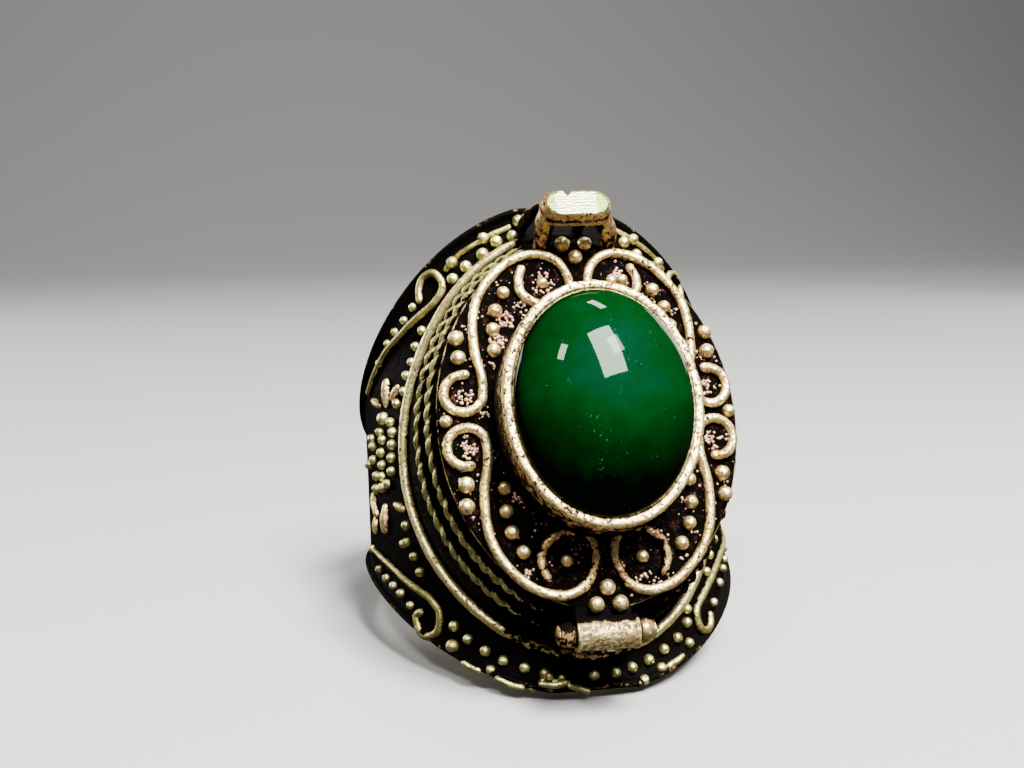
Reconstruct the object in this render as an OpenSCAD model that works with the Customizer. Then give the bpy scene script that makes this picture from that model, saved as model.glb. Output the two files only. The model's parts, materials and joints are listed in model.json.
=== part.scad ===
// Locket finger ring: a domed oval lid with a cabochon, hinged on an oval box that stands on a
// wide tapered band. The ring is drawn with the face looking up, then leaned back into the way
// it rests on a table: on the band's lower front edge and on the back of the shank.

/* [Stone] */
// Width of the cabochon across the ring
stone_w = 8; // [7.6:0.1:8.2]
// Length of the cabochon along the finger
stone_l = 10.15; // [9.6:0.05:10.4]
// Height of the polished dome above the stone's upright edge
stone_dome = 2.2; // [1.2:0.1:2.6]
// Height of the stone's upright edge
stone_edge = 1.2; // [0.8:0.1:1.4]
// Gap between the stone and the metal round it
stone_gap = 0.06; // [0.04:0.01:0.08]

/* [Lid] */
// Width of the lid across the ring
lid_w = 13.7; // [13.4:0.1:14]
// Length of the lid along the finger
lid_l = 16.92; // [16.6:0.02:17.2]
// Thickness of the lid plate
lid_t = 0.5; // [0.4:0.05:0.6]
// How far the middle of the lid stands above its edge
lid_crown = 0.6; // [0.3:0.05:0.8]
// Height of the bezel's rim above the scroll wires' level
bezel_h = 2.3; // [2:0.05:2.5]
// Wall of the bezel
bezel_t = 0.36; // [0.3:0.02:0.42]
// How far the bezel's lip is pushed in over the stone
lip = 0.12; // [0.08:0.01:0.16]
// Diameter of the scroll wires
scroll_wire = 0.44; // [0.36:0.02:0.5]
// Diameter of the granules on the lid
granule_d = 0.7; // [0.6:0.02:0.8]

/* [Box] */
// Width of the box at its foot, to the middle of the heavy wire
foot_w = 15.9; // [15.5:0.1:16.2]
// Length of the box at its foot, to the middle of the heavy wire
foot_l = 20.4; // [20:0.1:20.8]
// Wall of the box
wall_t = 0.7; // [0.5:0.05:0.8]
// Gap between the lid's edge and the top of the box
lid_gap = 0.12; // [0.1:0.01:0.2]
// Diameter of the heavy wire round the foot of the box
foot_wire = 0.5; // [0.4:0.02:0.56]
// Diameter of the two rope wires round the box
rope_d = 0.58; // [0.5:0.02:0.62]

/* [Band] */
// Diameter of the finger hole
finger_d = 17.3; // [16.8:0.1:17.8]
// Thickness of the band
band_t = 0.8; // [0.7:0.05:1]
// Length of the band along the finger, at the face
band_front = 23.5; // [23:0.1:24]
// Width of the shank at the back
band_back = 6.4; // [5.6:0.1:7.4]
// Angle from the face at which the taper ends
taper_end = 120; // [110:1:130]
// Height of the raised wire along the band's edges
edge_h = 0.32; // [0.2:0.02:0.4]
// Distance from the scroll wires' level on the lid down to the top of the band
face_rise = 4.2; // [4:0.05:4.4]

/* [Hinge and catch] */
// Outside diameter of the hinge knuckles
knuckle_d = 1.5; // [1.4:0.05:1.6]
// Length of the lid's knuckle
knuckle_l = 2.7; // [2.6:0.1:3.2]
// Diameter of the hinge pin
pin_d = 0.7; // [0.6:0.02:0.74]
// Gap all round the pin in its knuckles
pin_gap = 0.05; // [0.03:0.01:0.07]
// Width of the thumb arch at the other end of the lid
arch_w = 3.1; // [2.8:0.1:3.2]

/* [Hidden] */

silver = "#c9c2b0";
dark_silver = "#a59c88";
emerald = "#0b5a2e";

// Number of facets round an oval, round the band, round a wire and round a granule
oval_steps = 32;
band_steps = 60;
wire_sides = 5;
granule_sides = 10;

// Radii of the band, and the level of its axis under the face
bore_r = finger_d / 2;
band_r = bore_r + band_t;
axis_z = -face_rise - band_r;

// Lid surface: a shallow dome, lower at the edge by lid_crown
lid_a = lid_w / 2;
lid_b = lid_l / 2;
plate_top = -0.12;
lid_under_edge = plate_top - lid_crown - lid_t;
function lid_z(x, y) = plate_top - lid_crown * (pow(x / lid_a, 2) + pow(y / lid_b, 2));

// Box wall: flares from the lid's edge to its foot on the band
wall_top_z = lid_under_edge - lid_gap;
wall_top = [lid_a - 0.2, lid_b - 0.2];
wall_foot = [foot_w / 2 - 0.2, foot_l / 2 - 0.2];

// Bezel and stone
stone_a = stone_w / 2;
stone_b = stone_l / 2;
seat_in = [stone_a + stone_gap, stone_b + stone_gap];
stone_base = bezel_h - 2 * lip - stone_edge - 0.1;
ledge = 0.4;

// Hinge, just outside the lid's lower end; it and the catch sit a little to the left of the middle
hinge_y = -(lid_b + knuckle_d / 2 + 0.2);
hinge_z = -0.7;
ends_x = -0.18;
leaf_gap = 0.1;
leaf_l = 0.55;
leaf_d = 1.12;

// Half width of the band at an angle from the face, flat for the first few degrees
edge_flat = 12;
function taper(g) = (1 + cos(180 * g / taper_end)) / 2;
function band_half(phi) =
    let (g = sqrt(max(0, phi * phi - edge_flat * edge_flat)))
    band_back / 2 + (band_front - band_back) / 2 * (g < taper_end ? taper(g) : 0);

// The pose at rest: the lean that brings the front edge and the back of the shank to one level
front_edge = [-band_front / 2, axis_z + bore_r * cos(edge_flat)];
back_edge = [-band_back / 2, axis_z - band_r - edge_h];
lean = atan((back_edge[0] - front_edge[0]) / (front_edge[1] - back_edge[1]));
rest_h = -(front_edge[0] * cos(lean) + front_edge[1] * sin(lean));
rest_y = -8.895;

// Points on an oval, on the box wall and on the band
function oval(a, b, t) = [a * cos(t), b * sin(t)];
function mix(p, q, s) = p + (q - p) * s;
function on_band(phi, y, h = 0) =
    [(band_r + h) * sin(phi), y, axis_z + (band_r + h) * cos(phi)];
function band_z(x, r) = axis_z + sqrt(r * r - x * x);
function wall_point(t, s, out = 0) =
    let (
        size = mix(wall_top, wall_foot, s) + [out, out],
        p = oval(size[0], size[1], t),
        foot_x = oval(wall_foot[0], wall_foot[1], t)[0]
    )
    [p[0], p[1], mix(wall_top_z, band_z(foot_x, band_r - 0.3), s)];
function steps(n) = [for (i = [0 : n - 1]) 360 * i / n];
function unit(v) = v / norm(v);

// Skins a list of equal rings of points: a loop that closes on itself, or a rod with two ends
module skin(rings, loop = false) {
    n = len(rings[0]);
    m = len(rings);
    last = loop ? m - 1 : m - 2;
    sides = [
        for (i = [0 : last], j = [0 : n - 1])
            let (a = i * n, b = ((i + 1) % m) * n, k = (j + 1) % n)
            each [[a + j, b + j, b + k], [a + j, b + k, a + k]]
    ];
    ends = loop ? [] : [[for (j = [0 : n - 1]) j], [for (j = [n - 1 : -1 : 0]) (m - 1) * n + j]];
    polyhedron(points = [for (r = rings) each r], faces = concat(sides, ends), convexity = 8);
}

// A round wire along a path; up is the direction away from the metal under it
function wire_ring(p, along, up, r) =
    let (side = unit(cross(along, up)), top = cross(side, along))
    [for (t = steps(wire_sides)) p + r * (sin(t) * side + cos(t) * top)];
function along(path, i, loop) =
    let (m = len(path), a = loop ? (i + m - 1) % m : max(i - 1, 0), b = loop ? (i + 1) % m : min(i + 1, m - 1))
    unit(path[b] - path[a]);
module wire(path, r, ups, loop = false) {
    skin([for (i = [0 : len(path) - 1]) wire_ring(path[i], along(path, i, loop), ups[i], r)], loop);
}
function same(v, path) = [for (p = path) v];
function from_axis(path) = [for (p = path) unit([p[0], 0, p[2] - axis_z])];
function outward(path) = [for (p = path) unit([p[0], p[1], 0])];

// A granule: a bead half sunk in the metal, up being the direction away from the metal; each row of its
// facets is turned by half a facet from the row below
granule_rows = [[-0.3, 0.4], [0.1, 0.5], [0.44, 0.24]];
module granule(p, up, d) {
    side = unit(cross(up, [1, 0.01, 0]));
    other = cross(up, side);
    skin([
        for (i = [0 : 2])
            let (row = granule_rows[i], turn = -i * 180 / granule_sides)
            [
                for (t = steps(granule_sides))
                    p + d * (row[0] * up + row[1] * (cos(t + turn) * side + sin(t + turn) * other))
            ]
    ]);
}

// Copies to the left and right, and to both ends
module left_right() {
    children();
    mirror([1, 0, 0]) children();
}
module four_ways() {
    left_right() {
        children();
        mirror([0, 1, 0]) children();
    }
}

// Band: a tapered shell with a raised wire along each edge
function band_section(phi) =
    let (w = band_half(phi > 180 ? 360 - phi : phi), out = band_r + edge_h)
    [
        for (p = [
            [bore_r - 0.2, w], [out, w - 0.08], [band_r, w - 0.42],
            [band_r, 0.42 - w], [out, 0.08 - w], [bore_r - 0.2, -w]
        ])
            [p[0] * sin(phi), p[1], axis_z + p[0] * cos(phi)]
    ];
module band() {
    skin([for (phi = steps(band_steps)) band_section(phi)], loop = true);
}

// Box wall: an oval ring flaring down to the band
module box_wall() {
    skin([
        for (t = steps(oval_steps))
            [wall_point(t, 0), wall_point(t, 1), wall_point(t, 1, -wall_t), wall_point(t, 0, -wall_t)]
    ], loop = true);
}

// Two rope wires round the wall and the heavy wire round its foot
rope_levels = [0.132, 0.42];
rope_out = 0.165;
module rope_wire(s) {
    path = [for (t = steps(oval_steps)) wall_point(t, s, rope_out)];
    wire(path, rope_d / 2, outward(path), loop = true);
}
module heavy_wire() {
    path = [
        for (t = steps(oval_steps))
            let (p = oval(foot_w / 2, foot_l / 2, t))
            [p[0], p[1], band_z(p[0], band_r + foot_wire * 0.3)]
    ];
    wire(path, foot_wire / 2, from_axis(path), loop = true);
}

// Ornament on the band, each place an angle round the band and a distance along the finger: on every
// quarter a scroll whose curl turns out to the band's edge, then beads along the heavy wire
scroll_places = [
    [48, 7.75], [48.6, 8.3], [46.2, 8.8], [42.2, 8.85], [39.9, 8.4], [40.1, 7.8],
    [43, 7.25], [49, 6.75], [56, 6.1], [63, 5.45], [70, 4.85], [77, 4.25]
];
scroll_r = 0.19;
bead_d = 0.54;
bead_rows = [
    [11.5, 10.5], [16.8, 10.3], [22, 9.9], [27.3, 9.4], [32.5, 8.8],
    [10.5, 11.15], [21.3, 10.6], [32.3, 9.7]
];
module shoulder_scroll() {
    path = [for (p = scroll_places) on_band(p[0], p[1], 0.13)];
    wire(path, scroll_r, from_axis(path));
}
module band_bead(phi, y, d = bead_d) {
    granule(on_band(phi, y, d * 0.2), [sin(phi), 0, cos(phi)], d);
}
module bead_row() {
    for (p = bead_rows) band_bead(p[0], p[1]);
}

// Field of granules on each shoulder, in columns that shorten toward the back
field_first = 61;
field_step = 6.6;
field_pitch = 0.66;
module shoulder_field() {
    for (col = [0 : 2], row = [0 : 4 - col])
        band_bead(field_first + field_step * col, (row - (4 - col) / 2) * field_pitch + 0.3);
}

// Hinge leaves on the box, one each side of the lid's knuckle
module hinge_leaf() {
    x0 = knuckle_l / 2 + leaf_gap;
    translate([x0, hinge_y, hinge_z]) rotate([0, 90, 0]) cylinder(d = leaf_d, h = leaf_l, $fn = 24);
    translate([x0, hinge_y - leaf_d * 0.4, hinge_z - 2.9]) cube([leaf_l, leaf_d * 0.8, 2.7]);
}

// Keeper: a loop of wire on the flange that stands close under the thumb arch
keeper_w = 3.3;
keeper_r = 0.27;
keeper_foot = [10.8, axis_z + band_r - 0.4];
keeper_top = [10.3, -0.8];
module keeper() {
    path = [
        for (t = [0, 0.45, 0.8, 1, 1, 0.8, 0.45, 0], i = [0])
            [0, mix(keeper_foot[0], keeper_top[0], t), mix(keeper_foot[1], keeper_top[1], t)]
    ];
    half = [1, 1, 0.93, 0.55, -0.55, -0.93, -1, -1];
    wire([for (i = [0 : 7]) path[i] + [half[i] * keeper_w / 2, 0, 0]], keeper_r, same([0, 1, 0], path));
}

// Everything on the box and band is soldered into one skin, then the true bores are cut
module soldered_box() {
    resize([0, 0, 0]) union() {
        band();
        box_wall();
        for (level = rope_levels) rope_wire(level);
        heavy_wire();
        four_ways() {
            shoulder_scroll();
            bead_row();
        }
        left_right() shoulder_field();
        translate([ends_x, 0, 0]) {
            left_right() hinge_leaf();
            keeper();
        }
    }
}
module finger_bore() {
    translate([0, 0, axis_z]) rotate([90, 0, 0])
        cylinder(r = bore_r, h = band_front + 4, center = true, $fn = 96);
}
module pin_bore() {
    translate([0, hinge_y, hinge_z]) rotate([0, 90, 0])
        cylinder(d = pin_d + 2 * pin_gap, h = 8, center = true, $fn = 32);
}

// Lid plate: a domed oval dish of even thickness, its rings as parts of the lid's size and a drop
plate_rings = [[0.6, 0], [0.86, 0], [1, 0], [1, lid_t], [0.7, lid_t]];
module lid_plate() {
    skin([
        for (i = [0 : 4])
            let (size = plate_rings[i][0], drop = plate_rings[i][1])
            [
                for (t = steps(oval_steps))
                    let (p = oval(lid_a * size, lid_b * size, i * 180 / oval_steps - t))
                    [p[0], p[1], lid_z(p[0], p[1]) - drop]
            ]
    ]);
}

// Bezel: an oval collar with a ledge under the stone and a lip pushed in over the stone's edge
function oval_loop(size, z) = [for (t = steps(oval_steps)) let (p = oval(size[0], size[1], t)) [p[0], p[1], z]];
module bezel() {
    out = seat_in + [bezel_t, bezel_t];
    skin([
        oval_loop(out, plate_top - lid_crown),
        oval_loop(out, bezel_h - 0.15),
        oval_loop(out - [0.12, 0.12], bezel_h),
        oval_loop(seat_in - [lip, lip], bezel_h - 0.04),
        oval_loop(seat_in, bezel_h - lip - 0.04),
        oval_loop(seat_in, stone_base - stone_gap),
        oval_loop(seat_in - [ledge, ledge], stone_base - stone_gap),
        oval_loop(seat_in - [ledge, ledge], plate_top - lid_crown)
    ], loop = true);
}

// Scroll: a crook at the side, a long side, and a spiral round a granule at the end of the lid
crook = [5.62, 1.2, 0.86];
spiral = [1.66, 6.35];
function spiral_r(turn) = 1.12 + 1.34 * exp(-turn / 55);
scroll_xy = concat(
    [for (t = [97 : -37 : -170]) [crook[0] + crook[2] * cos(t), crook[1] + crook[2] * sin(t)]],
    [for (i = [1 : 3]) [4.84 + 0.16 * sin(45 * i), crook[1] + 1.1 * i]],
    [
        for (turn = [-20 : 33 : 376])
            let (t = 5 + turn, r = spiral_r(turn))
            [spiral[0] + r * cos(t), spiral[1] + r * sin(t)]
    ]
);
module lid_scroll() {
    path = [for (p = scroll_xy) [p[0], p[1], lid_z(p[0], p[1]) + scroll_wire * 0.28]];
    wire(path, scroll_wire / 2, same([0, 0, 1], path));
}

// Granules of one quarter of the lid, in rows named by where they stand
outer_row = [[5.74, 2.85], [5.78, 3.78]];
inner_row = [[3.5, 5.86], [3.94, 5], [4.12, 4.1], [4.14, 3.1]];
rim_bead = [6.45, 0];
end_triad = [7.55, 8.2, 0.53];
module lid_granule(p, d = granule_d) {
    granule([p[0], p[1], lid_z(p[0], p[1]) + d * 0.18], [0, 0, 1], d);
}
module lid_granules() {
    four_ways() {
        for (p = outer_row) lid_granule(p);
        for (p = inner_row) lid_granule(p, 0.6);
        lid_granule(spiral, 0.6);
    }
    left_right() lid_granule(rim_bead, 0.56);
    for (end = [-1, 1]) {
        lid_granule([0, end * end_triad[0]]);
        for (side = [-1, 1]) lid_granule([side * end_triad[2], end * end_triad[1]]);
    }
}

// Thumb arch: a thick bar on two legs over the end of the lid, filed flat on top; each section of the bar
// is a part of its half width and a radius
bar_sections = [[-1, 0.42], [-0.88, 0.66], [-0.5, 0.8], [0, 0.75], [0.5, 0.8], [0.88, 0.66], [1, 0.42]];
bar_at = [lid_b + 0.82, 1.15];
bar_sides = 10;
facet_z = 1.75;
leg_r = 0.38;
module thumb_arch() {
    half = arch_w / 2;
    leg = [[half - 0.04, lid_b - 0.25, -0.9], [half - 0.08, lid_b + 0.15, 0], [half - 0.35, lid_b + 0.6, 0.9]];
    difference() {
        union() {
            skin([
                for (i = [0 : len(bar_sections) - 1])
                    let (b = bar_sections[i], turn = -i * 180 / bar_sides)
                    [
                        for (t = steps(bar_sides))
                            [b[0] * half, bar_at[0] + b[1] * cos(t + turn), bar_at[1] + b[1] * sin(t + turn)]
                    ]
            ]);
            translate([-ends_x, 0, 0]) left_right() wire(leg, leg_r, same([0, 1, 0], leg));
        }
        translate([-arch_w, lid_b - 1, facet_z]) cube([arch_w * 2, 4, 2]);
        translate([-arch_w, lid_b - 2, lid_under_edge - 2]) cube([arch_w * 2, 4, 2]);
    }
}

// Knuckle of the lid and the tongue that carries it
module lid_knuckle() {
    translate([0, hinge_y, hinge_z]) rotate([0, 90, 0])
        cylinder(d = knuckle_d, h = knuckle_l, center = true, $fn = 24);
    translate([-knuckle_l / 2, hinge_y + 0.2, hinge_z - 0.5])
        cube([knuckle_l, -lid_b - hinge_y, 0.4]);
}
module soldered_lid() {
    resize([0, 0, 0]) union() {
        lid_plate();
        bezel();
        four_ways() lid_scroll();
        lid_granules();
        translate([ends_x, 0, 0]) {
            thumb_arch();
            lid_knuckle();
        }
    }
}

// Cabochon: an upright edge under a dome that is steep at the edge and flat on top
dome_steps = 5;
module cabochon() {
    skin(concat(
        [oval_loop([stone_a, stone_b], stone_base), oval_loop([stone_a, stone_b], stone_base + stone_edge)],
        [
            for (i = [1 : dome_steps])
                let (t = 88 * i / dome_steps, s = cos(t))
                oval_loop([stone_a * s, stone_b * s], stone_base + stone_edge + stone_dome * sin(t))
        ]
    ));
}

// Hinge pin with a small riveted head at each end
pin_half = knuckle_l / 2 + leaf_gap + leaf_l + 0.04;
module pin() {
    translate([0, hinge_y, hinge_z]) rotate([0, 90, 0]) {
        cylinder(d = pin_d, h = 2 * pin_half, center = true, $fn = 32);
        for (end = [-1, 1])
            translate([0, 0, end * (pin_half + 0.06)]) cylinder(d = pin_d + 0.2, h = 0.12, center = true, $fn = 32);
    }
}

// Leans the ring back into its pose at rest, with the table at height 0
module at_rest() {
    translate([0, rest_y, rest_h]) rotate([90 - lean, 0, 0]) children();
}

module ring_body() {
    color(dark_silver) at_rest() difference() {
        soldered_box();
        finger_bore();
        pin_bore();
    }
}
module lid() {
    color(silver) at_rest() difference() {
        soldered_lid();
        pin_bore();
    }
}
module stone() {
    color(emerald) at_rest() cabochon();
}
module hinge_pin() {
    color(silver) at_rest() translate([ends_x, 0, 0]) pin();
}

ring_body();
lid();
stone();
hinge_pin();
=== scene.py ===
import json
import random
from math import cos, exp, hypot, pi, radians, sin, sqrt

import bmesh
import bpy
from mathutils import Matrix, Vector, noise


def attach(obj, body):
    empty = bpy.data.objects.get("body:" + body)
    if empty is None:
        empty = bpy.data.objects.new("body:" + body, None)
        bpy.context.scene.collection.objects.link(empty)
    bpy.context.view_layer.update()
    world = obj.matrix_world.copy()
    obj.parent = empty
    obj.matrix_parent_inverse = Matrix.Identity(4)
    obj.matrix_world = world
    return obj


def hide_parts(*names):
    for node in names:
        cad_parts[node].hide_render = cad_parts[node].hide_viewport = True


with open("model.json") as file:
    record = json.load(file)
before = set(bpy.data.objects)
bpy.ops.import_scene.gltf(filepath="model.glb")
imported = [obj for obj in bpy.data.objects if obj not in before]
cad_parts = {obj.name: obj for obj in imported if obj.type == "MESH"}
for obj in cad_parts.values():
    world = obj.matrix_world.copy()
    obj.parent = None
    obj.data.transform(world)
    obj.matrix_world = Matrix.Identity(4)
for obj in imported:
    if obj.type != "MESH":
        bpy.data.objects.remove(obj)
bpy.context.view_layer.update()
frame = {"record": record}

# Sizes are in millimetres, in the face's own axes: x across the finger, y along it, z out of the face
MM = 0.001

# Stone and bezel. An oval is given by half its width and half its length
STONE = (4.0, 5.075)
STONE_BASE = 0.76
STONE_EDGE = 1.14
STONE_DOME = 2.26
STONE_GAP = 0.06
BEZEL_TOP = 2.3
BEZEL_WALL = 0.36
BEZEL_FOOT = -0.4
LIP = 0.12

# Lid
LID = (6.85, 8.46)
LID_T = 0.5
LID_CROWN = 0.6
PLATE_TOP = -0.12

# Box, from its top edge down to its foot on the band
LID_GAP = 0.12
WALL_T = 0.7
WALL_TOP = (LID[0] - 0.2, LID[1] - 0.2)
WALL_TOP_Z = PLATE_TOP - LID_CROWN - LID_T - LID_GAP
FOOT = (7.95, 10.2)
WALL_FOOT = (FOOT[0] - 0.2, FOOT[1] - 0.2)
WALL_SUNK = 0.3
FOOT_WIRE_R = 0.25
ROPE_D = 0.58
ROPE_LEVELS = (0.132, 0.42)
ROPE_OUT = 0.165

# Band, its angles in degrees from the middle of the face
HOLE = next(m for m in frame["record"]["mounts"] if m["name"] == "finger_bore")
HOLE_R = HOLE["dims"]["r_mm"]
BAND_R = HOLE_R + 0.8
BAND_FRONT = 11.75
BAND_BACK = 3.2
TAPER_END = 120
EDGE_FLAT = 12
EDGE_H = 0.32
FACE_RISE = 4.2
AXIS_Z = -FACE_RISE - BAND_R

# Hinge and catch, both a little to the left of the middle
ENDS_X = -0.18
HINGE_Y = -9.41
HINGE_Z = -0.7
KNUCKLE_R = 0.75
KNUCKLE_HALF = 1.35
PIN_BORE_R = 0.4
LEAF_GAP = 0.1
LEAF_L = 0.55
LEAF_R = 0.56
ARCH_HALF = 1.6
BAR_R = 0.8
BAR_AT = (LID[1] + 0.82, 1.15)
FACET_Z = 1.75
KEEPER_HALF = 1.45
KEEPER_R = 0.27
KEEPER_FOOT = (10.8, AXIS_Z + BAND_R - 0.4)
KEEPER_TOP = (10.3, -0.8)

# The face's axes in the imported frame, taken from the finger hole
ACROSS = Vector((1, 0, 0))
FINGER = Vector(HOLE["axis"]).normalized()
FACE = ACROSS.cross(FINGER)
ORIGIN = Vector(HOLE["pos_m"]) - FACE * AXIS_Z * MM
UP = Vector((0, 0, 1))
ALONG = Vector((0, 1, 0))

# Recess, oxide in the hollows and painted shade in one: its fall from the sides of a wire or granule to the
# top, and the most that a wire has
ROUND_SHADE = 0.75
WIRE_DEEPEST = 1.3

# Painted shadow of the thumb arch on what lies by it: its reach left and right, its soft edge and its depth
ARCH_SHADE_REACH = (2.4, 3.4)
ARCH_SHADE_EDGE = 0.8
ARCH_SHADE = 0.9

# Painted shade on wires that run down to the hinge: its soft edge and its depth
LOW_SHADE_EDGE = 1.2
LOW_SHADE = 0.6


def place(p):
    """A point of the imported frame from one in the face's axes."""
    return ORIGIN + MM * (p[0] * ACROSS + p[1] * FINGER + p[2] * FACE)


def mix(a, b, s):
    return a + (b - a) * s


def polar(t):
    return cos(t), sin(t)


def around(n):
    return [2 * pi * i / n for i in range(n)]


# Places on the lid, the box wall and the band
def lid_z(x, y):
    return PLATE_TOP - LID_CROWN * ((x / LID[0]) ** 2 + (y / LID[1]) ** 2)


def band_z(x, r):
    return AXIS_Z + sqrt(max(r * r - x * x, 0))


def wall_point(t, s, out=0.0):
    """A point of the box wall: t round it, s from its top at 0 to its foot at 1, and out from its surface."""
    c, d = polar(t)
    a = mix(WALL_TOP[0], WALL_FOOT[0], s) + out
    b = mix(WALL_TOP[1], WALL_FOOT[1], s) + out
    foot_z = band_z(WALL_FOOT[0] * c, BAND_R - WALL_SUNK)
    return Vector((a * c, b * d, mix(WALL_TOP_Z, foot_z, s)))


def band_half(phi):
    """Half the band's width at an angle from the middle of the face."""
    g = sqrt(max(0, phi * phi - EDGE_FLAT * EDGE_FLAT))
    taper = (1 + cos(pi * g / TAPER_END)) / 2 if g < TAPER_END else 0
    return BAND_BACK + (BAND_FRONT - BAND_BACK) * taper


def on_band(phi, y, h=0.0):
    c, s = polar(radians(phi))
    return Vector(((BAND_R + h) * s, y, AXIS_Z + (BAND_R + h) * c))


def band_up(p):
    """The way out of the band at a point on it."""
    return Vector((p[0], 0, p[2] - AXIS_Z)).normalized()


def add_object(name, data):
    obj = bpy.data.objects.new(name, data)
    bpy.context.scene.collection.objects.link(obj)
    return obj


def add_mesh(name, points, faces):
    mesh = bpy.data.meshes.new(name)
    mesh.from_pydata(points, [], faces)
    mesh.shade_smooth()
    return add_object(name, mesh)


class Shape:
    """Points and faces of a piece. Recess runs from 0 on top of the relief to 1 and more at its foot; it
    darkens the metal with oxide in the hollows and with painted shade.
    """

    def __init__(self):
        self.points, self.faces, self.recess = [], [], []

    def rings(self, rings, recess, loop=False):
        """Joins rings of points in order, and closes the first and last or joins them too."""
        start, n, m = len(self.points), len(rings[0]), len(rings)
        for i, ring in enumerate(rings):
            self.points += [Vector(p) for p in ring]
            self.recess += recess[i]
        for i in range(m if loop else m - 1):
            a, b = start + i * n, start + (i + 1) % m * n
            for j in range(n):
                k = (j + 1) % n
                self.faces.append((a + j, b + j, b + k, a + k))
        if not loop:
            self.faces.append(tuple(start + j for j in range(n)))
            self.faces.append(tuple(start + (m - 1) * n + j for j in reversed(range(n))))

    def add_other_side(self):
        """Adds the mirror image on the other side of the finger."""
        start = len(self.points)
        self.faces += [tuple(i + start for i in f) for f in self.faces]
        self.points += [Vector((-p.x, p.y, p.z)) for p in self.points]
        self.recess += self.recess

    def paint_arch_shadow(self):
        """Paints the thumb arch's shadow on what lies by it, on the arch's half of the lid."""
        for i, p in enumerate(self.points):
            x = p.x - ENDS_X
            reach = ARCH_SHADE_REACH[0] if x < 0 else ARCH_SHADE_REACH[1]
            if p.y > 0 and abs(x) < reach:
                self.recess[i] += ARCH_SHADE * min(1, (reach - abs(x)) / ARCH_SHADE_EDGE)

    def paint_low_shade(self, x0, x1):
        """Paints shade on the lower half between two places across, where wires run down to the hinge."""
        for i, p in enumerate(self.points):
            inside = min(p.x - x0, x1 - p.x)
            if p.y < 0 and inside > 0:
                self.recess[i] += LOW_SHADE * min(1, inside / LOW_SHADE_EDGE)

    def shift(self, x):
        for p in self.points:
            p.x += x

    def piece(self, name, body, material, node):
        """Makes the object, which moves with a body and stands for a solid."""
        obj = add_mesh(name, [place(p) for p in self.points], self.faces)
        mesh = obj.data
        recess = mesh.attributes.new("recess", "FLOAT", "POINT")
        recess.data.foreach_set("value", self.recess)
        normals = bmesh.new()
        normals.from_mesh(mesh)
        bmesh.ops.recalc_face_normals(normals, faces=normals.faces)
        normals.to_mesh(mesh)
        normals.free()
        mesh.materials.append(material)
        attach(obj, body)
        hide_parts(node)
        return obj


def tangents(path, loop):
    n = len(path)
    out = []
    for i in range(n):
        a = path[i - 1] if i or loop else path[0]
        b = path[(i + 1) % n] if i < n - 1 or loop else path[-1]
        out.append((b - a).normalized())
    return out


def smooth_path(points, steps):
    """An open Catmull-Rom curve through the points, in steps from each to the next."""
    points = [Vector(p) for p in points]
    n = len(points)
    out = []
    for i in range(n - 1):
        p = [points[min(max(i + k, 0), n - 1)] for k in (-1, 0, 1, 2)]
        for k in range(steps):
            t = k / steps
            bend = (2 * p[0] - 5 * p[1] + 4 * p[2] - p[3]) * t * t
            turn = (3 * p[1] - p[0] - 3 * p[2] + p[3]) * t ** 3
            out.append(0.5 * (2 * p[1] + (p[2] - p[0]) * t + bend + turn))
    out.append(points[-1])
    return out


# A cast wire: the angles at which its free end closes, and the long and short waves in its surface
END_ANGLES = (0.5, 1.0, 1.35)
LONG_WAVES = 1.7
SHORT_WAVES = 6.5
SHORT_SHARE = 0.7


def tube(shape, path, ups, r, sides=12, loop=False, uneven=0.09, round_ends=True, foot=0.55):
    """A wire along a path, a little uneven as cast wire is, with rounded free ends.

    r, its radius, and foot, how dark its sides are, are each one number or one for each point.
    """
    along = tangents(path, loop)
    radii = r if isinstance(r, list) else [r] * len(path)
    feet = foot if isinstance(foot, list) else [foot] * len(path)
    rows = list(zip(path, along, ups, radii, feet))
    if round_ends and not loop:
        for end, sign in ((0, -1), (-1, 1)):
            p, t, up, radius, low = rows[end]
            caps = [(p + sign * radius * sin(a) * t, t, up, radius * cos(a), low) for a in END_ANGLES]
            rows = caps[::-1] + rows if sign < 0 else rows + caps
    rings, recess = [], []
    for p, t, up, radius, low in rows:
        side = t.cross(up).normalized()
        top = side.cross(t)
        ring = []
        for a in around(sides):
            c, s = polar(a)
            turn = Vector((c, s, 0))
            wave = noise.noise(p * LONG_WAVES + turn) + SHORT_SHARE * noise.noise(p * SHORT_WAVES + turn)
            ring.append(p + radius * (1 + uneven * wave) * (c * side + s * top))
        rings.append(ring)
        # Painted shade: lighter on top, darker down the sides, added to the oxide at its foot
        recess.append([min(WIRE_DEEPEST, max(0, low - ROUND_SHADE * sin(a))) for a in around(sides)])
    shape.rings(rings, recess, loop=loop)


# A granule: where its rows start and how far they go, in half turns, and how uneven it is
BEAD_START = 0.08
BEAD_SPAN = 0.78
BEAD_SIZES = 0.1
BEAD_LUMPS = 0.07
BEAD_FOOT = 0.36


def bead(shape, p, up, d, sides=14, rows=7):
    """A granule, sunk a little in the metal and not quite round."""
    up = Vector(up).normalized()
    p = Vector(p)
    # A way that is never quite along up, to start each row from
    side = up.cross(Vector((0.9, 0.1, 0.42))).normalized()
    other = up.cross(side)
    size = d / 2 * (1 + BEAD_SIZES * noise.noise(p * 3.1))
    rings, recess = [], []
    for i in range(rows):
        a = pi * (BEAD_START + BEAD_SPAN * i / (rows - 1))
        ring = []
        for b in around(sides):
            c, s = polar(b)
            way = cos(a) * up + sin(a) * (c * side + s * other)
            lump = 1 + BEAD_LUMPS * noise.noise(p * 2.3 + way * 1.4)
            ring.append(p + size * lump * way)
        rings.append(ring)
        # Painted shade: lighter on top, darker toward its foot, added to the oxide there
        recess.append([min(1, max(0, BEAD_FOOT - ROUND_SHADE * cos(a)))] * sides)
    shape.rings(rings, recess)


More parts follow.
